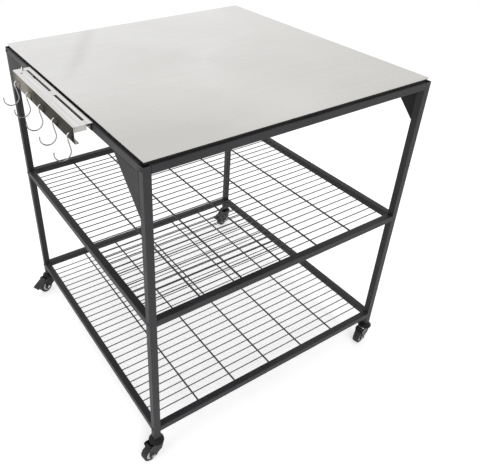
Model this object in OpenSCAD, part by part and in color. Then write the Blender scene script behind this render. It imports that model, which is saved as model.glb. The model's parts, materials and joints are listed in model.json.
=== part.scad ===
// Three-tier grill cart: a square-tube frame on four swivel casters, with a
// stainless work surface, two wire shelves and a side rail that carries hooks.
// Millimetres, +Z up. The origin is on the floor under the centre of the frame,
// the front is towards -Y and the tool rail is on the left side, towards -X.

/* [Frame] */
// Width of the tube frame along X
frame_width = 813; // [600:1:1100]
// Depth of the tube frame along Y
frame_depth = 813; // [600:1:1100]
// Height of the work surface above the floor
work_height = 914; // [780:1:1000]
// Outside size of the square tube
tube_size = 19; // [18:0.5:25]
// Wall thickness of the square tube
tube_wall = 1.2; // [0.8:0.1:1.6]
// Outside corner radius of the square tube
tube_corner = 1.6; // [0.5:0.1:2.5]
// Thickness of the threaded plate welded into the end of a bolted rail
end_plate_t = 4; // [2:0.5:8]

/* [Corner gussets] */
// Length of a gusset's legs along the beam and down the post
gusset_leg = 105; // [60:1:160]
// Thickness of a gusset plate
gusset_t = 3; // [1.5:0.5:5]

/* [Work surface] */
// Inset of the stainless sheet's edge from the frame's outer faces
sheet_inset = 5; // [2:0.5:12]
// Thickness of the stainless sheet
sheet_t = 1; // [0.8:0.1:1.2]
// Height of the rolled hem around the sheet
hem_h = 3; // [2.8:0.1:5]
// Width of the flange turned in under the hem
hem_return = 9; // [5:0.5:15]
// Thickness of the backing panel below the hem
panel_t = 6.5; // [4:0.5:12]
// Setback of the backing panel's edge from the sheet's edge
panel_setback = 3; // [1:0.5:6]
// Gap between the hem's flange and the raised middle of the panel
panel_gap = 1; // [0.5:0.5:4]

/* [Shelves] */
// Height of the middle shelf rails' top faces above the floor
mid_shelf_height = 504.5; // [350:0.5:650]
// Height of the low shelf rails' top faces above the floor
low_shelf_height = 119; // [116:0.5:240]
// Number of thin wires in one shelf
wire_count = 29; // [15:1:35]
// Diameter of the thin wires
wire_d = 3; // [2:0.5:4]
// Distance from a rail's inner face to the first thin wire
wire_edge_gap = 34.7; // [15:0.1:60]
// Depth of the thin wires' centres below the rails' top faces
wire_drop = 13.5; // [4:0.5:13.5]
// Number of cross wires under the thin ones
cross_wire_count = 5; // [3:1:9]
// Diameter of the cross wires
cross_wire_d = 5; // [4:0.5:6]
// Distance from a side rail's inner face to the first cross wire
cross_wire_edge_gap = 135.5; // [40:0.5:180]
// Depth to which crossing wires are welded into each other
weld_sink = 0.4; // [0.2:0.1:0.8]

/* [Tool rail] */
// Length of the tool rail along the cart's side
rail_length = 390; // [360:1:500]
// Shift of the tool rail's middle towards the back
rail_shift = 5; // [0:1:40]
// Width of the tool rail's top plate
rail_width = 45; // [40:0.5:60]
// Height of the tool rail's outer face
rail_face_h = 40; // [34:0.5:60]
// Height of the tool rail's top above the frame's top
rail_rise = 4; // [2:0.5:6]
// Thickness of the tool rail's sheet
rail_t = 1.5; // [1:0.1:2]
// Outside radius of the tool rail's bends
rail_bend_r = 2.6; // [2.2:0.1:4]
// Width of the lip turned in below the outer face
rail_lip = 9; // [4:0.5:9.5]
// Height of the flanges folded down at the two ends
end_flange_h = 13; // [8:0.5:20]
// Gap between an end flange and the frame
end_flange_gap = 14.5; // [6:0.5:20]
// Length of one tool slot
slot_length = 160; // [100:1:165]
// Width of one tool slot
slot_width = 8; // [5:0.5:10]
// Corner radius of a tool slot
slot_corner = 1; // [0.5:0.5:2.4]
// Distance between the two tool slots
slot_gap = 28; // [10:1:60]
// Land between a tool slot and the frame
slot_land = 10; // [5:0.5:12]
// Length of the small hanging hole at the rail's back end
hang_hole_length = 8; // [5:0.5:12]
// Width of the small hanging hole
hang_hole_width = 4.5; // [3:0.5:5]
// Distance from the hanging hole to the rail's back end
hang_hole_end_gap = 34; // [20:1:60]
// Distance from the hanging hole to the rail's outer face
hang_hole_face_gap = 12.5; // [8:0.5:15]
// Height of the small tab that stands up at the rail's back end
end_tab_h = 7; // [3:0.5:12]
// Width of the small end tab
end_tab_w = 2.5; // [2:0.5:8]
// Width of a tab that screws to the frame
fixing_tab_w = 24; // [16:1:36]
// Height of a fixing tab below the frame's top
fixing_tab_drop = 17; // [14:0.5:18]
// Distance from a fixing tab's middle to the end of the rail
fixing_tab_end_gap = 20; // [18:1:60]

/* [Hooks] */
// Diameter of the hook wire
hook_wire_d = 3; // [2:0.2:3.4]
// Distance between neighbouring hooks
hook_pitch = 86; // [60:1:88]
// Shift of the middle hook from the tool rail's middle
hook_shift = -1; // [-5:1:5]
// Radius of the small upper bow, at the wire's centre
hook_upper_r = 7; // [6:0.5:8]
// Radius of the large lower bow, at the wire's centre
hook_lower_r = 19.5; // [14:0.5:24]
// Distance from the rail's face out to the lower bow's centre
hook_reach = 20.5; // [18:0.5:30]
// Distance from the upper bow's centre down to the lower bow's centre
hook_drop = 34.5; // [30:0.5:40]
// Depth of the upper bow's centre below the frame's top
hook_depth = 24; // [23:0.5:28]
// Angle above horizontal at which the upper bow ends behind the face
hook_inner_tip = 20; // [10:1:30]
// Angle above horizontal at which the lower bow ends, open to the outside
hook_outer_tip = 15; // [0:1:40]
// Clearance around a hook in its hole in the rail's face
hook_hole_clearance = 1.1; // [0.6:0.1:1.4]

/* [Casters] */
// Height of the casters, floor to post
caster_height = 75; // [73:0.5:85]
// Radius of the tyre
wheel_r = 25; // [22:0.5:26]
// Width of the tyre
tyre_width = 19; // [14:0.5:19.5]
// Thickness of the tyre
tyre_t = 7.5; // [4:0.5:9]
// Rounding of the tyre's edges
tyre_edge_r = 3; // [1:0.5:4]
// Distance from the swivel axis back to the axle
caster_trail = 22; // [18:0.5:24]
// Outside width of the fork
fork_width = 26; // [24:0.5:27]
// Thickness of the fork's plates
fork_t = 2.5; // [1.5:0.1:3]
// Radius of the fork's boss around the axle
fork_boss_r = 11; // [8:0.5:12]
// Radius of the round cover over the swivel bearing
cover_r = 21; // [20:0.5:23]
// Thickness of the swivel cover
cover_t = 1.6; // [1.2:0.1:2]
// Height of the cover's straight skirt
cover_skirt = 2; // [1:0.5:4]
// Height from the cover's rim to its flat top
cover_h = 10.5; // [10:0.5:11]
// Radius of the king pin that the fork swivels on
king_pin_r = 4; // [3:0.5:5]
// Radius of the threaded stem
stem_r = 5; // [4:0.5:5.5]
// Length of the threaded stem inside the post
stem_length = 22; // [15:1:24]
// Radius of the axle bolt
axle_r = 3; // [2.5:0.5:3.5]
// Number of balls in a swivel bearing
ball_count = 10; // [8:1:12]
// Diameter of the swivel balls
ball_d = 4.5; // [4:0.5:4.5]
// Radius of the ring of balls
ball_ring_r = 11; // [10.5:0.5:12]
// Direction in which the front left caster trails, from +X
yaw_fl = 188; // [0:1:359]
// Direction in which the front right caster trails
yaw_fr = 192; // [0:1:359]
// Direction in which the back left caster trails
yaw_bl = 203; // [0:1:359]
// Direction in which the back right caster trails
yaw_br = 201; // [0:1:359]

/* [Brake pedals] */
// Distance from the swivel axis out to the pedal's pivot
pedal_pivot_out = 27; // [26.5:0.5:29]
// Height of the pedal's pivot above the floor
pedal_pivot_height = 55.5; // [55:0.5:58]
// Radius of the pedal's pivot pin
pedal_pin_r = 2; // [1.5:0.5:2.5]
// Radius of the pedal's boss around its pin
pedal_boss_r = 4.2; // [3.6:0.1:4.2]
// Distance from the pedal's pivot to its tip
pedal_length = 44; // [30:1:60]
// Width of the pedal outside the fork
pedal_width = 24; // [16:0.5:30]
// Thickness of the pedal at its tip
pedal_tip_t = 6; // [4:0.5:8]
// Slope of the back left pedal below horizontal, as it is pressed down
pedal_tilt_bl = 23; // [5:1:23]
// Slope of the back right pedal below horizontal, as it is released
pedal_tilt_br = 5; // [5:1:23]

/* [Fasteners] */
// Radius of the frame bolts
bolt_r = 3; // [2.5:0.5:3]
// Radius of a frame bolt's head
bolt_head_r = 5.2; // [4.5:0.1:7]
// Height of a frame bolt's head
bolt_head_h = 3.2; // [2:0.1:4]
// Radius of the screws that hold the tool rail
rail_screw_r = 2.5; // [2:0.5:3]
// Radius of a tool rail screw's head
rail_screw_head_r = 4.5; // [4:0.1:6]
// Height of a tool rail screw's head
rail_screw_head_h = 2.5; // [2:0.1:3.5]
// Clearance around a bolt or screw in a plain hole
hole_clearance = 0.2; // [0.1:0.1:0.4]
// Clearance around a pin or axle in the piece that turns on it
running_clearance = 0.05; // [0.02:0.01:0.1]
// Gap between pieces that pass each other as they turn
side_clearance = 0.3; // [0.2:0.05:0.5]
// Clearance around a post's end plug
plug_clearance = 0.1; // [0.05:0.05:0.3]
// Length of the plug in the lower end of each post
plug_length = 25; // [24:1:40]

/* [Hidden] */
$fn = 64;

// Colours
frame_color = [0.26, 0.26, 0.27];
steel_color = [0.86, 0.86, 0.85];
wire_color = [0.30, 0.30, 0.31];
zinc_color = [0.72, 0.73, 0.75];
black_color = [0.09, 0.09, 0.10];
hub_color = [0.82, 0.82, 0.80];

// A length by which cutting shapes pass the faces that they cut
cut_over = 1;
// A length by which shapes that form one solid reach into each other
join_over = 0.5;
// A depth by which straight sides cut into the round corners that they run between
touch_depth = 0.01;

// Frame
frame_top = work_height - panel_t - hem_h;
inner_tube = tube_size - 2 * tube_wall;
post_x = (frame_width - tube_size) / 2;
post_y = (frame_depth - tube_size) / 2;
span_x = frame_width - 2 * tube_size;
span_y = frame_depth - 2 * tube_size;
beam_z = frame_top - tube_size / 2;
mid_z = mid_shelf_height - tube_size / 2;
low_z = low_shelf_height - tube_size / 2;
bolt_heights = [beam_z, mid_z, low_z];

// Work surface
sheet_w = frame_width - 2 * sheet_inset;
sheet_d = frame_depth - 2 * sheet_inset;
hem_depth = hem_h / 2 + hem_return;
raised_inset = hem_depth + panel_gap;

// Shelves
wire_pitch = (span_y - 2 * wire_edge_gap) / (wire_count - 1);
cross_wire_pitch = (span_x - 2 * cross_wire_edge_gap) / (cross_wire_count - 1);
cross_wire_drop = wire_drop + (wire_d + cross_wire_d) / 2 - weld_sink;

// Tool rail, in the cart's own places: face_x is the plane of its outer face
face_x = -frame_width / 2 - rail_width;
rail_top = frame_top + rail_rise;
rail_front = rail_shift - rail_length / 2;
rail_back = rail_shift + rail_length / 2;
slot_x = -frame_width / 2 - slot_land - slot_width / 2;
end_flange_w = rail_width - end_flange_gap;
fixing_tab_z = frame_top - tube_size / 2;
fixing_tab_reach = rail_length / 2 - fixing_tab_end_gap;

// Hooks
hook_wire_r = hook_wire_d / 2;
hook_hole_r = hook_wire_r + hook_hole_clearance;
hook_axis_z = frame_top - hook_depth;
hook_hole_z = hook_axis_z - side_clearance + hook_hole_r
    + sqrt(pow(hook_upper_r - hook_wire_r, 2) - pow(rail_t, 2));
hook_centre_span = sqrt(pow(hook_reach, 2) + pow(hook_drop, 2));
hook_shank_turn = atan2(hook_drop, hook_reach)
    - acos((hook_upper_r + hook_lower_r) / hook_centre_span);
hook_shank_length = sqrt(pow(hook_centre_span, 2) - pow(hook_upper_r + hook_lower_r, 2));

// Screws: a socket's size and floor as shares of the shank's radius and head's height
socket_size = 1.3;
socket_floor = 0.45;
dome_rim = 1;
bolt_reach = 4;
rail_screw_reach = 8;

// Casters, as heights above the floor in one caster's own frame, trail towards +X
stem_collar_h = 4.5;
cover_top = caster_height - stem_collar_h;
cover_rim = cover_top - cover_h;
cover_flat_r = 8;
cover_centre = (pow(cover_flat_r, 2) + pow(cover_top, 2)
    - pow(cover_r, 2) - pow(cover_rim + cover_skirt, 2))
    / (2 * (cover_top - cover_rim - cover_skirt));
cover_sphere_r = sqrt(pow(cover_flat_r, 2) + pow(cover_top - cover_centre, 2));
cover_roof_t = 2;
ball_play = 0.05;
ball_r = ball_d / 2;
ball_z = cover_centre
    + sqrt(pow(cover_sphere_r - cover_t - ball_r - ball_play, 2) - pow(ball_ring_r, 2));
crown_top = ball_z - ball_r - ball_play;
crown_bottom = crown_top - fork_t;
crown_gap = 2;
crown_r = cover_r - cover_t - crown_gap;
king_head_r = 7;
king_head_h = 2.8;
stem_collar_af = 17;
leg_y = fork_width / 2 - fork_t / 2;
leg_shoulder_drop = 2;
leg_shoulder_reach = 17;
leg_heel_reach = 6;
leg_heel_height = 30;
leg_heel_r = 3;
arm_r = 4;
arm_neck_out = 8;
leg_top_reach = sqrt(pow(crown_r, 2) - pow(fork_width / 2, 2)) - side_clearance;
fork_inside = fork_width - 2 * fork_t;
hub_r = wheel_r - tyre_t;
hub_length = fork_inside - 2 * side_clearance;
hub_boss_wall = 3.5;
hub_boss_r = axle_r + hub_boss_wall;
hub_rim_t = 2.5;
hub_rim_inset = 1;
hub_rim_width = tyre_width - 2 * hub_rim_inset;
hub_web_inset = 3;
hub_web_width = tyre_width - 2 * hub_web_inset;
axle_head_af = 10;
axle_head_h = 4;
axle_nut_h = 5;
axle_thread_out = 1.2;
pin_head_r = pedal_pin_r + 1;
pin_head_h = 1.2;
ear_wall = 1.2;
ear_r = pedal_boss_r + ear_wall;
pedal_heel_gap = 1.5;
pedal_heel = ear_r + pedal_heel_gap;
pedal_heel_t = 5;
pedal_neck = 5;
pedal_shoe_r = 2.6;
pedal_shoe_out = 10;
pedal_shoe_drop = 2.2;

CORNERS = [
    // sign of x, sign of y, caster direction
    [-1, -1, yaw_fl],
    [1, -1, yaw_fr],
    [-1, 1, yaw_bl],
    [1, 1, yaw_br]
];
FL = CORNERS[0];
FR = CORNERS[1];
BL = CORNERS[2];
BR = CORNERS[3];

// Shapes that repeat

// A square with rounded corners
module rounded_square(size, r) {
    square([size, size - 2 * r], center = true);
    square([size - 2 * r, size], center = true);
    for (sx = [-1, 1], sy = [-1, 1])
        translate([sx * (size / 2 - r), sy * (size / 2 - r)]) circle(r);
}

// The frame tube's cross-section
module tube_section() {
    difference() {
        rounded_square(tube_size, tube_corner);
        square(inner_tube, center = true);
    }
}

module tube_along_x(length) {
    rotate([0, 90, 0]) linear_extrude(length, center = true) tube_section();
}

module tube_along_y(length) {
    rotate([90, 0, 0]) linear_extrude(length, center = true) tube_section();
}

// The unit vector at an angle
function heading(angle) = [cos(angle), sin(angle)];

// The angle of the outer normal of the line that touches circles a and b, each
// [centre x, centre y, radius], on the right-hand side of the way from a to b
function touch_angle(a, b) =
    atan2(b[1] - a[1], b[0] - a[0])
    - acos((a[2] - b[2]) / norm([b[0] - a[0], b[1] - a[1]]));

// The point there, a little inside the circle, so that side and arc cross
function touch_point(c, angle) =
    [c[0], c[1]] + max(0, c[2] - touch_depth) * heading(angle);

// The outline round a ring of circles named anticlockwise, with true arcs
module round_outline(circles) {
    n = len(circles);
    polygon([
        for (i = [0 : n - 1])
            let (a = circles[i], b = circles[(i + 1) % n], angle = touch_angle(a, b))
                for (c = [a, b]) touch_point(c, angle)
    ]);
    for (c = circles)
        if (c[2] > 0) translate([c[0], c[1]]) circle(c[2]);
}

// A plate standing in the XZ plane, centred on y = 0
module standing_plate(thickness) {
    rotate([90, 0, 0]) linear_extrude(thickness, center = true) children();
}

// A hexagon prism with its given size across flats, along +Z
module hex(af, h) {
    cylinder(h = h, r = af / 2 / cos(30), $fn = 6);
}

// A button head screw along -Z with its head standing on z = 0
module button_screw(r, length, head_r, head_h) {
    dome_r = (pow(head_r, 2) + pow(head_h, 2)) / (2 * head_h) + dome_rim;
    difference() {
        intersection() {
            cylinder(h = head_h, r = head_r);
            translate([0, 0, head_h - dome_r]) sphere(dome_r);
        }
        translate([0, 0, head_h * socket_floor]) hex(r * socket_size, head_h);
    }
    translate([0, 0, -length]) cylinder(h = length + join_over, r = r);
}

// Frame pieces

module post(corner) {
    color(frame_color)
        translate([corner[0] * post_x, corner[1] * post_y, 0])
            difference() {
                translate([0, 0, caster_height])
                    linear_extrude(frame_top - caster_height) tube_section();
                for (z = bolt_heights)
                    translate([0, 0, z]) rotate([0, 90, 0])
                        cylinder(h = tube_size + 2 * cut_over, r = bolt_r + hole_clearance,
                            center = true);
            }
}

// A front or back rail, bolted through the posts into plates in its ends
module bolted_rail(side, z) {
    color(frame_color)
        translate([0, side * post_y, z]) {
            tube_along_x(span_x);
            for (end = [-1, 1])
                translate([end * (span_x - end_plate_t) / 2, 0, 0])
                    difference() {
                        cube([end_plate_t, inner_tube, inner_tube], center = true);
                        rotate([0, 90, 0])
                            cylinder(h = end_plate_t + 2 * cut_over,
                                r = bolt_r + running_clearance, center = true);
                    }
        }
}

// A left or right rail, welded between the posts
module welded_rail(side, z) {
    color(frame_color) translate([side * post_x, 0, z]) tube_along_y(span_y);
}

// The left beam, drilled and tapped for the tool rail's screws
module top_beam_left() {
    color(frame_color)
        difference() {
            welded_rail(-1, beam_z);
            for (side = [-1, 1])
                translate([-frame_width / 2, rail_shift + side * fixing_tab_reach, fixing_tab_z])
                    rotate([0, 90, 0])
                        cylinder(h = 4 * tube_wall, r = rail_screw_r + running_clearance,
                            center = true);
        }
}

// A triangular plate in the corner under a side beam, flush with the outside
module gusset(corner) {
    color(frame_color)
        translate([corner[0] * (frame_width - gusset_t) / 2, corner[1] * span_y / 2,
                frame_top - tube_size])
            rotate([90, 0, 90])
                linear_extrude(gusset_t, center = true)
                    polygon([[0, 0], [-corner[1] * gusset_leg, 0], [0, -gusset_leg]]);
}

module top_brace() {
    color(frame_color) translate([0, 0, beam_z]) tube_along_y(span_y);
}

// Bolts through the posts into the ends of the front and back rails
module joint_bolts() {
    length = tube_size + end_plate_t + bolt_reach;
    color(black_color)
        for (c = CORNERS, z = bolt_heights)
            translate([c[0] * frame_width / 2, c[1] * post_y, z])
                rotate([0, c[0] * 90, 0])
                    button_screw(bolt_r, length, bolt_head_r, bolt_head_h);
}

// Plugs in the posts' lower ends, threaded for the casters' stems
module post_plugs() {
    size = inner_tube - 2 * plug_clearance;
    color(black_color)
        for (c = CORNERS)
            translate([c[0] * post_x, c[1] * post_y, caster_height])
                difference() {
                    translate([-size / 2, -size / 2, 0]) cube([size, size, plug_length]);
                    translate([0, 0, -cut_over])
                        cylinder(h = stem_length + side_clearance + cut_over,
                            r = stem_r + running_clearance);
                }
}

// Work surface

// The hem's cross-section, with the sheet's edge at x = 0 and its foot at y = 0
module hem_section() {
    r = hem_h / 2;
    translate([-r, r])
        difference() {
            circle(r);
            circle(r - sheet_t);
            translate([-hem_h, -hem_h]) square([hem_h, 2 * hem_h]);
        }
    translate([-hem_depth, 0]) square([hem_return, sheet_t]);
    translate([-hem_depth, hem_h - sheet_t]) square([hem_return, sheet_t]);
}

// One side of the hem along X, mitred at both ends
module hem_side(length) {
    m = hem_depth;
    intersection() {
        rotate([90, 0, 90]) linear_extrude(length, center = true) hem_section();
        translate([0, 0, -cut_over])
            linear_extrude(hem_h + 2 * cut_over)
                polygon([
                    [-length / 2, 0], [length / 2, 0],
                    [length / 2 - m, -m], [-length / 2 + m, -m]
                ]);
    }
}

module stainless_top() {
    color(steel_color)
        translate([0, 0, frame_top + panel_t]) {
            translate([0, 0, hem_h - sheet_t / 2])
                cube([sheet_w - 2 * hem_depth, sheet_d - 2 * hem_depth, sheet_t],
                    center = true);
            for (turn = [0, 180])
                rotate([0, 0, turn]) translate([0, sheet_d / 2, 0]) hem_side(sheet_w);
            for (turn = [90, 270])
                rotate([0, 0, turn]) translate([0, sheet_w / 2, 0]) hem_side(sheet_d);
        }
}

module top_backing_panel() {
    low_w = sheet_w - 2 * panel_setback;
    low_d = sheet_d - 2 * panel_setback;
    high_w = sheet_w - 2 * raised_inset;
    high_d = sheet_d - 2 * raised_inset;
    color(black_color)
        translate([0, 0, frame_top]) {
            translate([-low_w / 2, -low_d / 2, 0]) cube([low_w, low_d, panel_t]);
            translate([-high_w / 2, -high_d / 2, 0])
                cube([high_w, high_d, panel_t + hem_h - sheet_t]);
        }
}

// Shelves

module shelf_grid(top) {
    color(wire_color) {
        for (i = [0 : wire_count - 1])
            translate([0, (i - (wire_count - 1) / 2) * wire_pitch, top - wire_drop])
                rotate([0, 90, 0]) cylinder(h = span_x, d = wire_d, center = true);
        for (i = [0 : cross_wire_count - 1])
            translate([(i - (cross_wire_count - 1) / 2) * cross_wire_pitch, 0,
                    top - cross_wire_drop])
                rotate([90, 0, 0]) cylinder(h = span_y, d = cross_wire_d, center = true);
    }
}

// Tool rail

// A quarter ring that bends a sheet, from heading 0 to heading 90
module bend_section() {
    intersection() {
        difference() {
            circle(rail_bend_r);
            circle(rail_bend_r - rail_t);
        }
        square(rail_bend_r);
    }
}

// The rail's cross-section: x runs out from the frame, y up from the rail's top
module rail_section() {
    r = rail_bend_r;
    translate([0, -rail_t]) square([rail_width - r, rail_t]);
    translate([rail_width - r, -r]) bend_section();
    translate([rail_width - rail_t, -rail_face_h + r]) square([rail_t, rail_face_h - 2 * r]);
    translate([rail_width - r, -rail_face_h + r]) rotate(-90) bend_section();
    translate([rail_width - rail_t - rail_lip, -rail_face_h])
        square([rail_lip + rail_t - r, rail_t]);
}

// A slot or hole with round corners, long along Y
module round_slot(length, width, corner_r) {
    for (sx = [-1, 1], sy = [-1, 1])
        translate([sx * (width / 2 - corner_r), sy * (length / 2 - corner_r)])
            circle(corner_r);
    square([width, length - 2 * corner_r], center = true);
    square([width - 2 * corner_r, length], center = true);
}

module rail_cuts() {
    cut_h = rail_t + 2 * cut_over;
    translate([0, 0, rail_top - rail_t - cut_over]) linear_extrude(cut_h) {
        for (side = [-1, 1])
            translate([slot_x, rail_shift + side * (slot_length + slot_gap) / 2])
                round_slot(slot_length, slot_width, slot_corner);
        translate([face_x + hang_hole_face_gap, rail_back - hang_hole_end_gap])
            round_slot(hang_hole_length, hang_hole_width, hang_hole_width / 2 - 0.1);
    }
    for (i = [0 : 4])
        translate([face_x, hook_y(i), hook_hole_z]) rotate([0, 90, 0])
            cylinder(h = 4 * rail_t, r = hook_hole_r, center = true);
    for (side = [-1, 1])
        translate([-frame_width / 2, rail_shift + side * fixing_tab_reach, fixing_tab_z])
            rotate([0, 90, 0])
                cylinder(h = 4 * rail_t, r = rail_screw_r + hole_clearance, center = true);
}

module tool_rail() {
    flange_x = -frame_width / 2 - rail_width + rail_bend_r;
    color(steel_color)
        difference() {
            union() {
                translate([-frame_width / 2, rail_shift, rail_top])
                    rotate([90, 0, 180]) linear_extrude(rail_length, center = true)
                        rail_section();
                for (y = [rail_front, rail_back - rail_t])
                    translate([flange_x, y, rail_top - end_flange_h])
                        cube([end_flange_w - rail_bend_r, rail_t, end_flange_h - rail_t / 2]);
                for (side = [-1, 1])
                    translate([-frame_width / 2 - rail_t,
                            rail_shift + side * fixing_tab_reach - fixing_tab_w / 2,
                            frame_top - fixing_tab_drop])
                        cube([rail_t, fixing_tab_w,
                            fixing_tab_drop + rail_rise - rail_t / 2]);
                translate([flange_x + end_flange_w - rail_bend_r - 2 * end_tab_w,
                        rail_back - rail_t, rail_top - rail_t])
                    cube([end_tab_w, rail_t, end_tab_h + rail_t]);
            }
            rail_cuts();
        }
}

module tool_rail_screws() {
    length = tube_wall + rail_t + rail_screw_reach;
    color(zinc_color)
        for (side = [-1, 1])
            translate([-frame_width / 2 - rail_t, rail_shift + side * fixing_tab_reach,
                    fixing_tab_z])
                rotate([0, -90, 0])
                    button_screw(rail_screw_r, length, rail_screw_head_r, rail_screw_head_h);
}

// Hooks

function hook_y(i) = rail_shift + hook_shift + (i - 2) * hook_pitch;

// Part of a wire ring in the XZ plane, from one heading to another
module wire_arc(r, from, to) {
    rotate([90, 0, 0]) rotate([0, 0, from])
        rotate_extrude(angle = to - from) translate([r, 0]) circle(hook_wire_r);
}

module hook(i) {
    end_turn = 180 + hook_shank_turn;
    shank_start = hook_upper_r * heading(end_turn);
    shank_heading = end_turn + 90;
    color(zinc_color)
        translate([face_x, hook_y(i), hook_axis_z]) {
            wire_arc(hook_upper_r, hook_inner_tip, end_turn);
            translate([shank_start[0], 0, shank_start[1]])
                rotate([0, 90 - shank_heading, 0])
                    cylinder(h = hook_shank_length, r = hook_wire_r);
            translate([-hook_reach, 0, -hook_drop])
                wire_arc(hook_lower_r, -180 - hook_outer_tip, hook_shank_turn);
        }
}

// Casters: each module draws one caster's piece in its place under its post

module at_caster(corner) {
    translate([corner[0] * post_x, corner[1] * post_y, 0])
        rotate([0, 0, corner[2]]) children();
}

// The fixed part: stem, collar, cover over the bearing and king pin
module caster_stem(corner) {
    color(black_color) at_caster(corner) {
        translate([0, 0, caster_height]) cylinder(h = stem_length, r = stem_r);
        translate([0, 0, cover_top]) hex(stem_collar_af, caster_height - cover_top);
        rotate_extrude() cover_section();
        translate([0, 0, crown_bottom - side_clearance])
            cylinder(h = cover_top - cover_roof_t / 2 - crown_bottom + side_clearance,
                r = king_pin_r);
        translate([0, 0, crown_bottom - side_clearance - king_head_h])
            cylinder(h = king_head_h, r = king_head_r);
    }
}

module cover_section() {
    difference() {
        intersection() {
            translate([0, cover_centre]) circle(cover_sphere_r);
            translate([0, cover_rim]) square([cover_r, cover_h]);
        }
        intersection() {
            translate([0, cover_centre]) circle(cover_sphere_r - cover_t);
            translate([0, cover_rim - cover_h])
                square([cover_r - cover_t, 2 * cover_h - cover_roof_t]);
        }
    }
}

module caster_balls(corner) {
    color(zinc_color) at_caster(corner)
        for (i = [0 : ball_count - 1])
            rotate([0, 0, i * 360 / ball_count])
                translate([ball_ring_r, 0, ball_z]) sphere(ball_r);
}

// The outline of a fork leg: a broad plate round the axle, and an arm with an ear
module leg_outline() {
    top = crown_bottom + fork_t / 2;
    shoulder = cover_rim - leg_shoulder_drop;
    round_outline([
        [-leg_top_reach, top, 0],
        [-leg_shoulder_reach, shoulder, 0],
        [-leg_heel_reach, leg_heel_height, leg_heel_r],
        [caster_trail, wheel_r, fork_boss_r],
        [leg_top_reach, top, 0]
    ]);
    round_outline([
        [caster_trail, wheel_r, arm_r],
        [pedal_pivot_out, pedal_pivot_height, ear_r],
        [arm_neck_out, shoulder, 0]
    ]);
}

module caster_fork(corner) {
    color(black_color) at_caster(corner)
        difference() {
            union() {
                translate([0, 0, crown_bottom]) cylinder(h = fork_t, r = crown_r);
                for (side = [-1, 1])
                    translate([0, side * leg_y, 0])
                        standing_plate(fork_t) leg_outline();
            }
            translate([0, 0, crown_bottom - cut_over])
                cylinder(h = fork_t + 2 * cut_over, r = king_pin_r + running_clearance);
            fork_bore(caster_trail, wheel_r, axle_r);
            fork_bore(pedal_pivot_out, pedal_pivot_height, pedal_pin_r);
        }
}

// A hole through both legs for a pin of radius r
module fork_bore(out, height, r) {
    translate([out, 0, height]) rotate([90, 0, 0])
        cylinder(h = fork_width + 2 * cut_over, r = r + running_clearance, center = true);
}

// The axle bolt with its nut, and the pin between the ears, on which a pedal turns
module caster_axle(corner) {
    half = fork_width / 2;
    nut_end = half + axle_nut_h + axle_thread_out;
    color(zinc_color) at_caster(corner) {
        translate([caster_trail, nut_end, wheel_r]) rotate([90, 0, 0])
            cylinder(h = nut_end + half + axle_head_h / 2, r = axle_r);
        translate([caster_trail, half + axle_nut_h, wheel_r]) rotate([90, 0, 0])
            hex(axle_head_af, axle_nut_h);
        translate([caster_trail, -half, wheel_r]) rotate([90, 0, 0])
            hex(axle_head_af, axle_head_h);
        translate([pedal_pivot_out, 0, pedal_pivot_height]) rotate([90, 0, 0]) {
            cylinder(h = fork_width + pin_head_h, r = pedal_pin_r, center = true);
            for (end = [-1, 1])
                translate([0, 0, end * (half + pin_head_h / 2)])
                    cylinder(h = pin_head_h, r = pin_head_r, center = true);
        }
    }
}

// Places a piece that is drawn round the Z axis on a caster's axle
module on_axle(corner) {
    at_caster(corner)
        translate([caster_trail, 0, wheel_r]) rotate([90, 0, 0]) children();
}

module caster_hub(corner) {
    rim_in = hub_r - hub_rim_t;
    color(hub_color) on_axle(corner)
        difference() {
            union() {
                cylinder(h = hub_length, r = hub_boss_r, center = true);
                cylinder(h = hub_web_width, r = rim_in + join_over, center = true);
                difference() {
                    cylinder(h = hub_rim_width, r = hub_r, center = true);
                    cylinder(h = hub_rim_width + 2 * cut_over, r = rim_in, center = true);
                }
            }
            cylinder(h = hub_length + 2 * cut_over, r = axle_r + running_clearance,
                center = true);
        }
}

module caster_tyre(corner) {
    r = tyre_edge_r;
    color(black_color) on_axle(corner)
        rotate_extrude() {
            translate([hub_r, -tyre_width / 2]) square([tyre_t - r, tyre_width]);
            translate([hub_r, -tyre_width / 2 + r]) square([tyre_t, tyre_width - 2 * r]);
            for (side = [-1, 1])
                translate([wheel_r - r, side * (tyre_width / 2 - r)]) circle(r);
        }
}

// The brake lever: it turns on its pin between the fork's ears
module brake_pedal(corner, tilt) {
    tip_r = pedal_tip_t / 2;
    heel_r = pedal_heel_t / 2;
    color(black_color) at_caster(corner)
        translate([pedal_pivot_out, 0, pedal_pivot_height])
            rotate([0, tilt, 0])
                difference() {
                    union() {
                        standing_plate(hub_length)
                            round_outline([
                                [0, 0, pedal_boss_r],
                                [pedal_shoe_out, -pedal_shoe_drop, pedal_shoe_r],
                                [pedal_heel + pedal_neck, 0, 0]
                            ]);
                        standing_plate(pedal_width)
                            round_outline([
                                [pedal_heel, -heel_r, 0],
                                [pedal_length - tip_r, 0, tip_r],
                                [pedal_heel, heel_r, 0]
                            ]);
                    }
                    rotate([90, 0, 0])
                        cylinder(h = hub_length + 2 * cut_over,
                            r = pedal_pin_r + running_clearance, center = true);
                }
}

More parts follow.
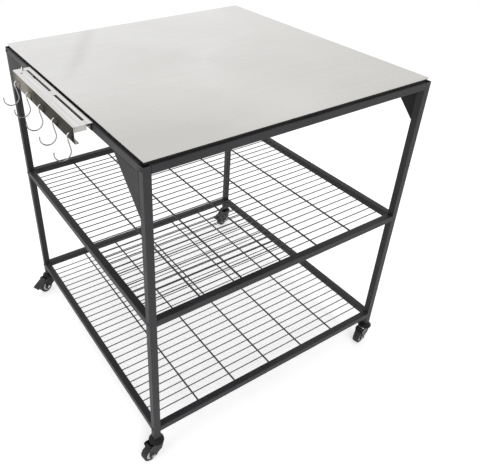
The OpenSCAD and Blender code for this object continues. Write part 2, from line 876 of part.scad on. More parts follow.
stainless_top();
top_backing_panel();
top_brace();
bolted_rail(-1, beam_z);  // top_beam_front
bolted_rail(1, beam_z);  // top_beam_back
top_beam_left();
welded_rail(1, beam_z);  // top_beam_right
post(FL);  // post_fl
post(FR);  // post_fr
post(BL);  // post_bl
post(BR);  // post_br
gusset(FL);  // gusset_fl
gusset(FR);  // gusset_fr
gusset(BL);  // gusset_bl
gusset(BR);  // gusset_br
bolted_rail(-1, mid_z);  // mid_rail_front
bolted_rail(1, mid_z);  // mid_rail_back
welded_rail(-1, mid_z);  // mid_rail_left
welded_rail(1, mid_z);  // mid_rail_right
shelf_grid(mid_shelf_height);  // mid_shelf_grid
bolted_rail(-1, low_z);  // low_rail_front
bolted_rail(1, low_z);  // low_rail_back
welded_rail(-1, low_z);  // low_rail_left
welded_rail(1, low_z);  // low_rail_right
shelf_grid(low_shelf_height);  // low_shelf_grid
joint_bolts();
post_plugs();
tool_rail();
tool_rail_screws();
hook(0);  // hook_1
hook(1);  // hook_2
hook(2);  // hook_3
hook(3);  // hook_4
hook(4);  // hook_5
caster_stem(FL);  // caster_stem_fl
caster_stem(FR);  // caster_stem_fr
caster_stem(BL);  // caster_stem_bl
caster_stem(BR);  // caster_stem_br
caster_balls(FL);  // caster_balls_fl
caster_balls(FR);  // caster_balls_fr
caster_balls(BL);  // caster_balls_bl
caster_balls(BR);  // caster_balls_br
caster_fork(FL);  // caster_fork_fl
caster_fork(FR);  // caster_fork_fr
caster_fork(BL);  // caster_fork_bl
caster_fork(BR);  // caster_fork_br
caster_axle(FL);  // caster_axle_fl
caster_axle(FR);  // caster_axle_fr
caster_axle(BL);  // caster_axle_bl
caster_axle(BR);  // caster_axle_br
caster_hub(FL);  // caster_hub_fl
caster_hub(FR);  // caster_hub_fr
caster_hub(BL);  // caster_hub_bl
caster_hub(BR);  // caster_hub_br
caster_tyre(FL);  // caster_tyre_fl
caster_tyre(FR);  // caster_tyre_fr
caster_tyre(BL);  // caster_tyre_bl
caster_tyre(BR);  // caster_tyre_br
brake_pedal(BL, pedal_tilt_bl);  // brake_pedal_bl
brake_pedal(BR, pedal_tilt_br);  // brake_pedal_br
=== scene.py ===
import json
import math
import random
from functools import partial

import bmesh
import bpy
from mathutils import Matrix, Vector


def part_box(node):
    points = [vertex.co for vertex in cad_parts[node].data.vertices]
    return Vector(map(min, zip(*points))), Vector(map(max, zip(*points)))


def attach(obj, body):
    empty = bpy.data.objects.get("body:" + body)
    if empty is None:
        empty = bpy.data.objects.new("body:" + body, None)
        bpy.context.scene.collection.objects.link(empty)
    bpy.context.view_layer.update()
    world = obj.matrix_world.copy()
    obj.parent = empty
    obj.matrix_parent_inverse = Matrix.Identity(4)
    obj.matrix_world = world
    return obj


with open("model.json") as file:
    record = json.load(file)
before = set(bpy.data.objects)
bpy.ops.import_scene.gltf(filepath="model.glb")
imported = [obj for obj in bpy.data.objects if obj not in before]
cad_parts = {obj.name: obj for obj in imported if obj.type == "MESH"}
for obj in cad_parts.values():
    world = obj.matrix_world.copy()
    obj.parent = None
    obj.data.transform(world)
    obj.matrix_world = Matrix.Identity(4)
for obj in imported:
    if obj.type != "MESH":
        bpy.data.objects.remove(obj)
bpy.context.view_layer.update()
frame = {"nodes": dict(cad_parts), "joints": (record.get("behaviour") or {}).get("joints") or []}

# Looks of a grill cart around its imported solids: finishes, weld beads and tacks, wire
# ends, tyre rings, hub ribs, grip ridges, camera, floor and lamps. Lengths are metres.

NODES = frame["nodes"]
SEED = 7
MM = 0.001

# Camera, matched to the photograph
CAMERA_PLACE = (-0.8163, -1.2000, 1.4185)
CAMERA_TURN = (56.08, -0.32, -32.46)
CAMERA_LENS = 42.09
CAMERA_SHIFT = (0.1084, -0.0524)

# Values that several pieces share: the frame's tube and the room between its posts
TUBE = 19 * MM
POST_LOW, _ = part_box("post_fl")
SPAN_X = -POST_LOW.x - TUBE
SPAN_Y = -POST_LOW.y - TUBE
CORNERS = ("fl", "fr", "bl", "br")
WHITE = (1.0, 1.0, 1.0)


def joint_named(name):
    """A joint's place and the direction of its axis."""
    joint = next(j for j in frame["joints"] if j["name"] == name)
    return Vector(joint["pos_m"]), Vector(joint["axis"]).normalized()


# Node trees

def add_node(tree, kind, **settings):
    node = tree.nodes.new(kind)
    for key, value in settings.items():
        setattr(node, key, value)
    return node


class Tree:
    """A material's node tree, with short ways to add and join its nodes."""

    def __init__(self, name):
        self.material = bpy.data.materials.new(name)
        self.material.use_nodes = True
        self.tree = self.material.node_tree
        self.tree.nodes.clear()
        self.output = self.add("ShaderNodeOutputMaterial")
        self.shader = self.add("ShaderNodeBsdfPrincipled")
        self.join(self.shader.outputs["BSDF"], self.output.inputs["Surface"])
        self.place = self.add("ShaderNodeTexCoord").outputs["Object"]

    def add(self, kind, **settings):
        return add_node(self.tree, kind, **settings)

    def join(self, output, socket):
        self.tree.links.new(output, socket)

    def set(self, **values):
        """Sets the shader's own sockets, with _ for a space in a socket's name."""
        for key, value in values.items():
            self.shader.inputs[key.replace("_", " ")].default_value = value

    def scaled(self, x, y, z):
        """The object's coordinates, multiplied along each axis."""
        node = self.add("ShaderNodeMapping")
        node.inputs["Scale"].default_value = (x, y, z)
        self.join(self.place, node.inputs["Vector"])
        return node.outputs["Vector"]

    def noise(self, vector, detail=2.0, rough=0.5, distortion=0.0):
        node = self.add("ShaderNodeTexNoise")
        node.inputs["Scale"].default_value = 1.0
        node.inputs["Detail"].default_value = detail
        node.inputs["Roughness"].default_value = rough
        node.inputs["Distortion"].default_value = distortion
        self.join(vector, node.inputs["Vector"])
        return node.outputs["Fac"]

    def band(self, value, low, high, out_low, out_high):
        """value from low..high to out_low..out_high, clamped."""
        node = self.add("ShaderNodeMapRange")
        for name, number in (("From Min", low), ("From Max", high),
                             ("To Min", out_low), ("To Max", out_high)):
            node.inputs[name].default_value = number
        self.join(value, node.inputs["Value"])
        return node.outputs["Result"]

    def math(self, operation, a, b):
        node = self.add("ShaderNodeMath", operation=operation)
        for socket, value in zip(node.inputs, (a, b)):
            if isinstance(value, (int, float)):
                socket.default_value = value
            else:
                self.join(value, socket)
        return node.outputs["Value"]

    def blend(self, factor, a, b):
        """The colour a where factor is 0 and b where it is 1."""
        node = self.add("ShaderNodeMix", data_type="RGBA")
        self.join(factor, node.inputs["Factor"])
        colours = [s for s in node.inputs if s.type == "RGBA"]
        for socket, value in zip(colours, (a, b)):
            if isinstance(value, tuple):
                socket.default_value = (*value, 1.0)
            else:
                self.join(value, socket)
        return next(s for s in node.outputs if s.type == "RGBA")

    def axis(self, name, vector=None):
        """One coordinate, X, Y or Z, of the place on the object or of another vector."""
        node = self.add("ShaderNodeSeparateXYZ")
        self.join(vector or self.place, node.inputs["Vector"])
        return node.outputs[name]

    def facing(self, name):
        """One coordinate of the surface's direction, in the object's own axes."""
        return self.axis(name, self.add("ShaderNodeTexCoord").outputs["Normal"])

    def distance(self, centre):
        """How far a place is from a point, across the floor plan."""
        node = self.add("ShaderNodeVectorMath", operation="DISTANCE")
        flat = self.add("ShaderNodeVectorMath", operation="MULTIPLY")
        self.join(self.place, flat.inputs[0])
        flat.inputs[1].default_value = (1.0, 1.0, 0.0)
        self.join(flat.outputs["Vector"], node.inputs[0])
        node.inputs[1].default_value = (*centre, 0.0)
        return node.outputs["Value"]

    def colour(self, output):
        self.join(output, self.shader.inputs["Base Color"])

    def roughness(self, output):
        self.join(output, self.shader.inputs["Roughness"])

    def bump(self, height, distance, strength=1.0):
        node = self.add("ShaderNodeBump")
        node.inputs["Strength"].default_value = strength
        node.inputs["Distance"].default_value = distance
        self.join(height, node.inputs["Height"])
        self.join(node.outputs["Normal"], self.shader.inputs["Normal"])


# Materials

GRAIN_DEPTH = 0.02 * MM
SPOT_DEPTH = 0.01 * MM
SKIN_DEPTH = 0.05 * MM


def powder_coat(name, dark, light, rough, sheen=0.3):
    """Charcoal powder coat: fine orange peel, a few paler specks and soft drift."""
    t = Tree(name)
    peel_share = 0.45
    peel = t.noise(t.scaled(1400, 1400, 1400), detail=3.0)
    drift = t.noise(t.scaled(14, 14, 14), detail=3.0)
    mixed = t.math("ADD", t.math("MULTIPLY", peel, peel_share), drift)
    tone = t.band(mixed, 0.55, 0.95, 0.0, 1.0)
    t.colour(t.blend(tone, dark, light))
    t.roughness(t.band(drift, 0.3, 0.7, rough - 0.06, rough + 0.08))
    t.bump(peel, 0.06 * MM, 0.5)
    t.set(Specular_IOR_Level=sheen)
    return t.material


def sheet_steel():
    """The work surface: fine grain along X and soft dull clouds, with painted reflection: lighter
    to the left and back, darker near the front left corner, and one faint slanting dark band.
    """
    t = Tree("sheet_steel")
    low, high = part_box("stainless_top")
    grain = t.noise(t.scaled(14, 2600, 2600), detail=2.0)
    streak = t.noise(t.scaled(1.6, 240, 240), detail=3.0)
    cloud = t.noise(t.scaled(3.2, 4.0, 4.0), detail=2.0, distortion=0.8)
    # painted reflection: lighter to the left and toward the back, and darker near the front left
    # corner
    left = t.band(t.axis("X"), low.x, high.x, 0.17, -0.10)
    back = t.band(t.axis("Y"), low.y, high.y, -0.20, 0.10)
    near = t.band(t.distance((low.x, low.y)), 0.0, 0.40, -0.50, 0.0)
    streak_share, cloud_share = 0.22, 0.5
    mixed = t.math("ADD", t.math("MULTIPLY", streak, streak_share),
                   t.math("MULTIPLY", cloud, cloud_share))
    mixed = t.math("ADD", t.math("ADD", mixed, near), t.math("ADD", left, back))
    tone = t.band(mixed, -0.02, 0.65, 0.0, 1.0)
    # painted reflection: a dark slanting band along a line a * X + b * Y + c = 0, with a, b and c
    # the first three numbers below
    reflection_x, reflection_y, reflection_offset, reflection_depth = 0.860, -0.511, 0.334, 0.36
    reflection_core, reflection_edge = 2 * MM, 30 * MM
    across = t.math("ADD", t.math("MULTIPLY", t.axis("X"), reflection_x),
                    t.math("MULTIPLY", t.axis("Y"), reflection_y))
    across = t.math("ABSOLUTE", t.math("ADD", across, reflection_offset), 0.0)
    fade = t.band(t.axis("Y"), 0.03, 0.15, 0.0, reflection_depth)
    dark_reflection = t.math("MULTIPLY", t.band(across, reflection_core, reflection_edge, 1.0, 0.0), fade)
    dull, pale = (0.59, 0.582, 0.556), (0.78, 0.775, 0.765)
    t.colour(t.blend(t.math("SUBTRACT", tone, dark_reflection), dull, pale))
    t.roughness(t.band(t.math("ADD", grain, cloud), 0.7, 1.3, 0.22, 0.34))
    t.bump(grain, GRAIN_DEPTH, 0.35)
    t.set(Metallic=1.0, Anisotropic=0.5)
    return t.material


def tool_rail_steel():
    """The tool rail: bright brushed top; the rest painted darker as shade and reflection, with the
    inside dark, the end flange a middle grey, and a face painted with the reflection of a dim room.
    """
    t = Tree("tool_rail_steel")
    low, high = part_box("tool_rail")
    grain = t.noise(t.scaled(2600, 10, 2600), detail=2.0)
    streak = t.noise(t.scaled(420, 3, 420), detail=3.0)
    brushed = t.band(streak, 0.35, 0.65, 0.0, 1.0)
    top = t.blend(brushed, (0.64, 0.63, 0.62), (0.82, 0.81, 0.80))
    back = t.band(t.axis("Y"), low.y, high.y, 0.0, 1.0)
    # painted reflection on the outer face: dark in front, warm toward the back, and dark again at
    # the far end
    dark, warm_reflection, far_end_reflection = (0.034, 0.034, 0.030), (0.34, 0.31, 0.27), (0.10, 0.09, 0.08)
    face = t.blend(t.band(back, 0.60, 0.76, 0.0, 1.0), dark, warm_reflection)
    face = t.blend(t.band(back, 0.90, 1.0, 0.0, 1.0), face, far_end_reflection)
    # painted shade: the inside of the channel is near black
    painted_shade_inside = t.blend(brushed, (0.03, 0.03, 0.03), (0.06, 0.06, 0.06))
    end = t.band(t.axis("Y"), low.y + 0.5 * MM, low.y + 0.9 * MM, 1.0, 0.0)
    outer = t.band(t.axis("X"), low.x + 0.9 * MM, low.x + 1.3 * MM, 1.0, 0.0)
    # faces that point up keep the steel's brushed tone; the rest take the painted tones above
    up = t.band(t.facing("Z"), 0.35, 0.75, 0.0, 1.0)
    # painted reflection: the end flange is a middle grey, darker than the steel of the top
    tone = t.blend(end, painted_shade_inside, (0.40, 0.39, 0.37))
    tone = t.blend(outer, tone, face)
    t.colour(t.blend(up, tone, top))
    t.roughness(t.band(up, 0.0, 1.0, 0.14, 0.30))
    t.bump(grain, GRAIN_DEPTH, 0.3)
    t.set(Metallic=1.0, Anisotropic=0.4)
    # painted shade: a dimmer specular tint where a face doesn't point up
    t.join(t.blend(up, (0.54, 0.53, 0.51), WHITE), t.shader.inputs["Specular Tint"])
    return t.material


def bright_metal(name, base, rough, black_over=None):
    """Plated small steel parts, darker where they face down as painted shade, with faint
    dull spots, and near black on what lies higher than black_over."""
    t = Tree(name)
    spots = t.noise(t.scaled(600, 600, 600), detail=2.0)
    soft = t.noise(t.scaled(60, 60, 60), detail=1.0)
    dim = tuple(c * 0.82 for c in base)
    tone = t.blend(t.band(soft, 0.35, 0.65, 0.0, 1.0), dim, base)
    # painted shade: darker where the surface faces down
    tone = t.blend(t.band(t.facing("Z"), -0.6, 0.4, 0.0, 1.0), dim, tone)
    if black_over is not None:
        above = t.band(t.axis("Z"), black_over - MM, black_over + MM, 0.0, 1.0)
        tone = t.blend(above, tone, (0.07, 0.07, 0.07))
    t.colour(tone)
    t.roughness(t.band(spots, 0.3, 0.7, rough, rough + 0.12))
    t.bump(spots, SPOT_DEPTH, 0.2)
    t.set(Metallic=1.0)
    return t.material


def hook_wire():
    """The hooks' plated wire: much lighter round the upper bow as a painted highlight, grey below
    it, and darker where it faces down as painted shade.
    """
    t = Tree("hook_wire")
    bow, _ = joint_named("hook_1_swing")
    spots = t.noise(t.scaled(600, 600, 600), detail=2.0)
    # painted highlight round the upper bow, and painted shade where the wire faces down
    upper = t.band(t.axis("Z"), bow.z - 9 * MM, bow.z - 4 * MM, 0.0, 1.0)
    above = t.band(t.facing("Z"), -0.6, 0.4, 0.0, 1.0)
    grey = t.blend(above, (0.14, 0.14, 0.14), (0.36, 0.36, 0.35))
    painted_highlight = t.blend(above, (0.40, 0.40, 0.39), (0.88, 0.88, 0.86))
    t.colour(t.blend(upper, grey, painted_highlight))
    t.roughness(t.band(spots, 0.3, 0.7, 0.14, 0.26))
    t.bump(spots, SPOT_DEPTH, 0.2)
    t.set(Metallic=1.0, Specular_Tint=(0.5, 0.5, 0.5, 1.0))
    return t.material


def moulded_plastic(name, base, rough):
    """Moulded plastic with a fine spark-eroded skin and slight drift in tone."""
    t = Tree(name)
    skin = t.noise(t.scaled(900, 900, 900), detail=3.0)
    drift = t.noise(t.scaled(45, 45, 45), detail=2.0)
    darker = tuple(c * 0.72 for c in base)
    t.colour(t.blend(t.band(drift, 0.35, 0.65, 0.0, 1.0), darker, base))
    t.roughness(t.band(skin, 0.3, 0.7, rough - 0.05, rough + 0.07))
    t.bump(skin, SKIN_DEPTH, 0.5)
    return t.material


def rubber(name):
    """Black tread rubber with dusty, slightly scuffed patches."""
    t = Tree(name)
    grain = t.noise(t.scaled(1100, 1100, 1100), detail=3.0)
    dust = t.noise(t.scaled(120, 120, 120), detail=4.0, rough=0.65)
    clean, dusty = (0.012, 0.012, 0.013), (0.045, 0.043, 0.04)
    t.colour(t.blend(t.band(dust, 0.5, 0.75, 0.0, 1.0), clean, dusty))
    t.roughness(t.band(dust, 0.3, 0.7, 0.55, 0.8))
    t.bump(grain, 0.08 * MM, 0.5)
    return t.material


def backing_board():
    """Black laminate on the board's faces."""
    t = Tree("backing_board")
    skin = t.noise(t.scaled(500, 500, 500), detail=4.0)
    deep, lighter = (0.006, 0.006, 0.006), (0.016, 0.015, 0.014)
    t.colour(t.blend(t.band(skin, 0.35, 0.7, 0.0, 1.0), deep, lighter))
    t.roughness(t.band(skin, 0.3, 0.7, 0.5, 0.7))
    t.bump(skin, SKIN_DEPTH, 0.4)
    return t.material


FRAME_COAT = powder_coat("charcoal_coat", (0.017, 0.017, 0.019), (0.032, 0.032, 0.035), 0.5)
# the gussets get a darker copy of the frame's charcoal coat: painted shade
GUSSET_SHADED_COAT = powder_coat("gusset_shaded_coat", (0.012, 0.012, 0.013), (0.023, 0.023, 0.025), 0.5, 0.2)
WIRE_COAT = powder_coat("wire_coat", (0.045, 0.045, 0.047), (0.08, 0.08, 0.083), 0.42)
SHEET_STEEL = sheet_steel()
RAIL_STEEL = tool_rail_steel()
BOARD = backing_board()
HOOK_WIRE = hook_wire()
ZINC = bright_metal("zinc_plate", (0.66, 0.67, 0.69), 0.26)
# an axle node holds the bright axle and, higher up, the pin between the ears, coloured near black
AXLE_STEEL = bright_metal("axle_steel", (0.66, 0.67, 0.69), 0.26, black_over=42 * MM)
BALL_STEEL = bright_metal("ball_steel", (0.72, 0.72, 0.72), 0.08)
BLACK_BOLT = powder_coat("black_bolt", (0.03, 0.03, 0.032), (0.06, 0.06, 0.063), 0.35)
CASTER_PAINT = powder_coat("caster_paint", (0.008, 0.008, 0.009), (0.016, 0.016, 0.017), 0.34, 0.18)
BLACK_PLASTIC = moulded_plastic("black_plastic", (0.022, 0.022, 0.024), 0.42)
HUB_PLASTIC = moulded_plastic("hub_plastic", (0.94, 0.94, 0.92), 0.4)
TYRE_RUBBER = rubber("tyre_rubber")

FINISHES = (
    # start of the node's name, material
    ("stainless_top", SHEET_STEEL),
    ("top_backing_panel", BOARD),
    ("top_", FRAME_COAT),
    ("post_plugs", BLACK_PLASTIC),
    ("post_", FRAME_COAT),
    ("gusset_", GUSSET_SHADED_COAT),
    ("mid_shelf_grid", WIRE_COAT),
    ("low_shelf_grid", WIRE_COAT),
    ("mid_rail_", FRAME_COAT),
    ("low_rail_", FRAME_COAT),
    ("joint_bolts", BLACK_BOLT),
    ("tool_rail_screws", ZINC),
    ("tool_rail", RAIL_STEEL),
    ("hook_", HOOK_WIRE),
    ("caster_stem_", CASTER_PAINT),
    ("caster_fork_", CASTER_PAINT),
    ("caster_balls_", BALL_STEEL),
    ("caster_axle_", AXLE_STEEL),
    ("caster_hub_", HUB_PLASTIC),
    ("caster_tyre_", TYRE_RUBBER),
    ("brake_pedal_", BLACK_PLASTIC),
)


def dress_nodes():
    for name, node in NODES.items():
        finish = next(m for start, m in FINISHES if name.startswith(start))
        node.data.materials.clear()
        node.data.materials.append(finish)


# Pieces that scene.py adds

def new_piece(name, build, material, body):
    """An object whose mesh build(bm) makes in place, riding on a body."""
    bm = bmesh.new()
    build(bm)
    bmesh.ops.recalc_face_normals(bm, faces=bm.faces)
    mesh = bpy.data.meshes.new(name)
    bm.to_mesh(mesh)
    bm.free()
    for face in mesh.polygons:
        face.use_smooth = True
    mesh.materials.append(material)
    piece = bpy.data.objects.new(name, mesh)
    bpy.context.scene.collection.objects.link(piece)
    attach(piece, body)
    return piece


def bridge(bm, one, two):
    """Faces between two loops of as many corners."""
    for k in range(len(one)):
        n = (k + 1) % len(one)
        bm.faces.new((one[k], one[n], two[n], two[k]))


def closed_block(bm, corners):
    """A block between the first and the second half of its corners."""
    half = len(corners) // 2
    one, two = corners[:half], corners[half:]
    bm.faces.new(one[::-1])
    bm.faces.new(two)
    bridge(bm, one, two)


def weld_bead(bm, start, end, radius, rng, sides=8, step=1.6 * MM):
    """A rippled bead from start to end, closed at both ends, sunk half into its corner."""
    start, end = Vector(start), Vector(end)
    along = (end - start).normalized()
    side = along.orthogonal().normalized()
    other = along.cross(side)
    count = max(4, int((end - start).length / step))
    ripple, pitch, scatter = 0.16, 1.9, 0.07
    rings = []
    for i in range(count + 1):
        share = i / count
        taper = min(1.0, 0.35 + 6 * min(share, 1 - share))
        uneven = ripple * math.sin(i * pitch) + rng.uniform(-scatter, scatter)
        r = radius * taper * (1 + uneven)
        centre = start.lerp(end, share)
        rings.append([
            bm.verts.new(centre + r * (math.cos(a) * side + math.sin(a) * other))
            for a in (2 * math.pi * k / sides for k in range(sides))
        ])
    for here, following in zip(rings, rings[1:]):
        bridge(bm, here, following)
    bm.faces.new(rings[0][::-1])
    bm.faces.new(rings[-1])


def rail_welds(bm):
    """Beads where the side rails and beams meet the posts, on the two inner edges."""
    rng = random.Random(SEED)
    radius = 1.1 * MM
    inset = 1.2 * MM
    for name in ("top_beam_left", "top_beam_right", "mid_rail_left", "mid_rail_right",
                 "low_rail_left", "low_rail_right"):
        low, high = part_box(name)
        x = high.x - inset if low.x < 0 else low.x + inset
        for y in (low.y, high.y):
            weld_bead(bm, (x, y, low.z + MM), (x, y, high.z - MM), radius, rng)
            weld_bead(bm, (low.x + MM, y, low.z), (high.x - MM, y, low.z), radius, rng)


def gusset_welds(bm):
    """Beads along both legs of each gusset, on its inner side."""
    rng = random.Random(SEED + 1)
    radius = 1.0 * MM
    end = 4 * MM
    for corner in CORNERS:
        low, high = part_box("gusset_" + corner)
        x = high.x if low.x < 0 else low.x
        post_y, tip_y = (low.y, high.y - end) if low.y < 0 else (high.y, low.y + end)
        weld_bead(bm, (x, post_y, low.z + end), (x, post_y, high.z - MM), radius, rng)
        weld_bead(bm, (x, post_y, high.z), (x, tip_y, high.z), radius, rng)


def blob(bm, centre, radius, squash, axis, rng):
    """A small flattened weld tack."""
    turn = Vector((0, 0, 1)).rotation_difference(Vector(axis)).to_matrix().to_4x4()
    size = radius * rng.uniform(0.9, 1.1)
    matrix = Matrix.Translation(centre) @ turn @ Matrix.Diagonal((size, size, size * squash, 1))
    bmesh.ops.create_icosphere(bm, subdivisions=2, radius=1.0, matrix=matrix)


def grid_tacks(grid, wires=29, edge=34.7 * MM, cross_wires=5, cross_edge=135.5 * MM):
    """Tacks at the wires' ends against the rails of one shelf."""
    low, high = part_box(grid)
    wire_r, cross_wire_r = 1.5 * MM, 2.5 * MM
    tack_r, cross_tack_r = 2.6 * MM, 3.4 * MM
    stand, lift = 0.4 * MM, 0.6 * MM
    thin_z = high.z - wire_r
    cross_z = low.z + cross_wire_r + lift
    first_y, last_y = -SPAN_Y + edge, SPAN_Y - edge
    first_x, last_x = -SPAN_X + cross_edge, SPAN_X - cross_edge

    def build(bm):
        rng = random.Random(SEED + 2)
        for i in range(wires):
            y = first_y + (last_y - first_y) * i / (wires - 1)
            for x in (-SPAN_X + stand, SPAN_X - stand):
                blob(bm, (x, y, thin_z), tack_r, 0.45, (1, 0, 0), rng)
        for i in range(cross_wires):
            x = first_x + (last_x - first_x) * i / (cross_wires - 1)
            for y in (-SPAN_Y + stand, SPAN_Y - stand):
                blob(bm, (x, y, cross_z), cross_tack_r, 0.4, (0, 1, 0), rng)
    return build


def pedal_ridges(corner, count=5):
    """Grip ridges across a brake pedal's tip."""
    pivot, across = joint_named(f"pedal_{corner}_press")
    node = NODES["brake_pedal_" + corner]
    tip = max((v.co for v in node.data.vertices), key=lambda p: (p - pivot).length)
    reach = (tip - pivot) - across * (tip - pivot).dot(across)
    out = reach.normalized()
    up = out.cross(across)
    if up.z < 0:
        up = -up
    half_width, top = 10 * MM, 2.7 * MM
    from_tip, pitch = 7 * MM, 3.2 * MM
    # a ridge's outline, along the pedal and above its face
    outline = ((-0.8, -0.5), (-0.35, 0.75), (0.35, 0.75), (0.8, -0.5))

    def build(bm):
        for i in range(count):
            centre = pivot + out * (reach.length - from_tip - pitch * i) + up * top
            closed_block(bm, [
                bm.verts.new(centre + across * side + out * (a * MM) + up * (b * MM))
                for side in (-half_width, half_width) for a, b in outline
            ])
    return build


def hook_tips(number):
    """Rounded ends on an S-hook's wire."""
    bow, _ = joint_named(f"hook_{number}_swing")
    tip_r, tip_flatness = 1.49 * MM, 0.7
    ends = (
        # a bow's centre from the upper bow's, its radius and the angle of its end
        ((0.0, 0.0), 7 * MM, 20),
        ((-20.5 * MM, -34.5 * MM), 19.5 * MM, -195),
    )

    def build(bm):
        for (x, z), r, angle in ends:
            a = math.radians(angle)
            centre = bow + Vector((x + r * math.cos(a), 0, z + r * math.sin(a)))
            out = Vector((math.sin(a), 0, -math.cos(a)))
            turn = Vector((0, 0, 1)).rotation_difference(out).to_matrix().to_4x4()
            flat = Matrix.Diagonal((1, 1, tip_flatness, 1))
            bmesh.ops.create_uvsphere(bm, u_segments=20, v_segments=12, radius=tip_r,
                                      matrix=Matrix.Translation(centre) @ turn @ flat)
    return build


def ring(bm, centre, axis, radius, thickness, steps=64, sides=8):
    """A thin round ring about an axis."""
    side = axis.orthogonal().normalized()
    other = axis.cross(side)
    rings = []
    for i in range(steps):
        a = 2 * math.pi * i / steps
        out = math.cos(a) * side + math.sin(a) * other
        rings.append([
            bm.verts.new(centre + out * (radius + thickness * math.cos(b))
                         + axis * (thickness * math.sin(b)))
            for b in (2 * math.pi * k / sides for k in range(sides))
        ])
    for i in range(steps):
        bridge(bm, rings[i], rings[(i + 1) % steps])


def tyre_rings(corner):
    """The raised rings moulded on a tyre's sides."""
    centre, axis = joint_named(f"wheel_{corner}_spin")
    face_out = 9.45 * MM
    rings = ((18.9 * MM, 0.35 * MM), (21.2 * MM, 0.25 * MM))

    def build(bm):
        for out in (-face_out, face_out):
            for radius, thickness in rings:
                ring(bm, centre + axis * out, axis, radius, thickness)
    return build


def hub_ribs(corner, count=8):
    """Ribs from a hub's boss to its rim, on both sides of its web."""
    centre, axis = joint_named(f"wheel_{corner}_spin")
    first = axis.orthogonal().normalized()
    second = axis.cross(first)
    inner, outer, base = 6 * MM, 15.2 * MM, 6.3 * MM
    high, low = 9.4 * MM, 8.0 * MM
    foot, crest = 0.8 * MM, 0.5 * MM
    # a rib's outline: reach, height and half its width there
    outline = ((inner, base, foot), (outer, base, foot), (outer, low, crest), (inner, high, crest))

    def build(bm):
        for side in (-1, 1):
            for i in range(count):
                a = 2 * math.pi * i / count
                out = math.cos(a) * first + math.sin(a) * second
                across = axis.cross(out)
                closed_block(bm, [
                    bm.verts.new(centre + out * reach + across * (way * half)
                                 + axis * (side * height))
                    for way in (-1, 1) for reach, height, half in outline
                ])
    return build


def add_pieces():
    new_piece("rail_weld_beads", rail_welds, FRAME_COAT, "cart")
    new_piece("gusset_weld_beads", gusset_welds, FRAME_COAT, "cart")
    for shelf in ("mid", "low"):
        new_piece(f"{shelf}_shelf_tacks", grid_tacks(f"{shelf}_shelf_grid"), WIRE_COAT,
                  "cart")
    for number in range(1, 6):
        new_piece(f"hook_{number}_tips", hook_tips(number), HOOK_WIRE,
                  f"hook_{number}_body")
    for corner in CORNERS:
        new_piece(f"tyre_rings_{corner}", tyre_rings(corner), TYRE_RUBBER,
                  f"wheel_{corner}")
        new_piece(f"hub_ribs_{corner}", hub_ribs(corner), HUB_PLASTIC,
                  f"wheel_{corner}")
    for corner in ("bl", "br"):
        new_piece(f"pedal_ridges_{corner}", pedal_ridges(corner), BLACK_PLASTIC,
                  f"pedal_{corner}")


# Room

def make_camera():
    data = bpy.data.cameras.new("camera")
    data.lens = CAMERA_LENS
    data.sensor_width = 36.0
    data.shift_x, data.shift_y = CAMERA_SHIFT
    data.clip_start, data.clip_end = 0.05, 60.0
    camera = bpy.data.objects.new("camera", data)
    camera.location = CAMERA_PLACE
    camera.rotation_euler = [math.radians(a) for a in CAMERA_TURN]
    bpy.context.scene.collection.objects.link(camera)
    bpy.context.scene.camera = camera


def seen_ray(add, join):
    """1 for rays that come from the camera, a mirror or glass, and 0 for the rest."""
    path = add("ShaderNodeLightPath")
    seen = path.outputs["Is Camera Ray"]
    for kind in ("Is Glossy Ray", "Is Transmission Ray"):
        either = add("ShaderNodeMath", operation="ADD", use_clamp=True)
        join(seen, either.inputs[0])
        join(path.outputs[kind], either.inputs[1])
        seen = either.outputs[0]
    return seen


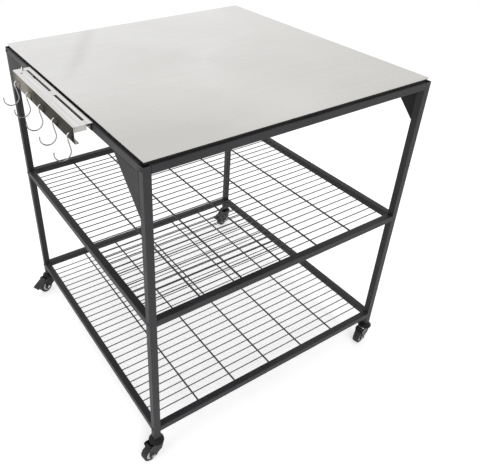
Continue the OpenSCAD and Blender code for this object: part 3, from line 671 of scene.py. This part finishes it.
def make_world(light=0.5):
    """A white surround that lights the cart softly."""
    world = bpy.data.worlds.new("room")
    bpy.context.scene.world = world
    world.use_nodes = True
    tree = world.node_tree
    tree.nodes.clear()

    add, join = partial(add_node, tree), tree.links.new
    output = add("ShaderNodeOutputWorld")
    mix = add("ShaderNodeMixShader")
    join(seen_ray(add, join), mix.inputs["Fac"])
    for socket, strength in ((1, light), (2, 1.0)):
        background = add("ShaderNodeBackground")
        background.inputs["Color"].default_value = (*WHITE, 1.0)
        background.inputs["Strength"].default_value = strength
        join(background.outputs[0], mix.inputs[socket])
    join(mix.outputs[0], output.inputs["Surface"])


def make_floor(size=14.0, glow=0.5):
    """A pale floor that shows white and keeps a faint shadow."""
    bm = bmesh.new()
    bmesh.ops.create_grid(bm, x_segments=2, y_segments=2, size=size / 2)
    mesh = bpy.data.meshes.new("floor")
    bm.to_mesh(mesh)
    bm.free()
    t = Tree("floor_white")
    grain = t.noise(t.scaled(6, 6, 6), detail=2.0)
    t.colour(t.blend(grain, (0.86, 0.86, 0.86), (0.88, 0.88, 0.88)))
    t.set(Roughness=0.9)
    light = t.add("ShaderNodeEmission")
    light.inputs["Strength"].default_value = glow
    lit = t.add("ShaderNodeAddShader")
    mix = t.add("ShaderNodeMixShader")
    plain = t.shader.outputs["BSDF"]
    for output, socket in ((plain, lit.inputs[0]), (light.outputs["Emission"], lit.inputs[1]),
                           (seen_ray(t.add, t.join), mix.inputs["Fac"]),
                           (plain, mix.inputs[1]), (lit.outputs[0], mix.inputs[2]),
                           (mix.outputs[0], t.output.inputs["Surface"])):
        t.join(output, socket)
    mesh.materials.append(t.material)
    floor = bpy.data.objects.new("floor", mesh)
    bpy.context.scene.collection.objects.link(floor)


def area_lamp(name, place, target, size, watts):
    data = bpy.data.lights.new(name, "AREA")
    data.shape = "DISK"
    data.size = size
    data.energy = watts
    lamp = bpy.data.objects.new(name, data)
    lamp.visible_glossy = False
    lamp.location = place
    lamp.rotation_euler = (Vector(target) - Vector(place)).to_track_quat("-Z", "Y").to_euler()
    bpy.context.scene.collection.objects.link(lamp)


def make_lights():
    """Lamps that metal doesn't mirror, because it already mirrors the white surround."""
    middle = (0.0, 0.0, 0.5)
    area_lamp("key", (-1.2, -3.2, 2.6), middle, 1.8, 40)
    area_lamp("side", (-3.2, -0.6, 1.6), middle, 1.6, 22)
    area_lamp("top", (0.4, 0.6, 3.4), middle, 2.4, 30)


dress_nodes()
add_pieces()
make_camera()
make_world()
make_floor()
make_lights()
bpy.context.scene.view_settings.view_transform = "Standard"
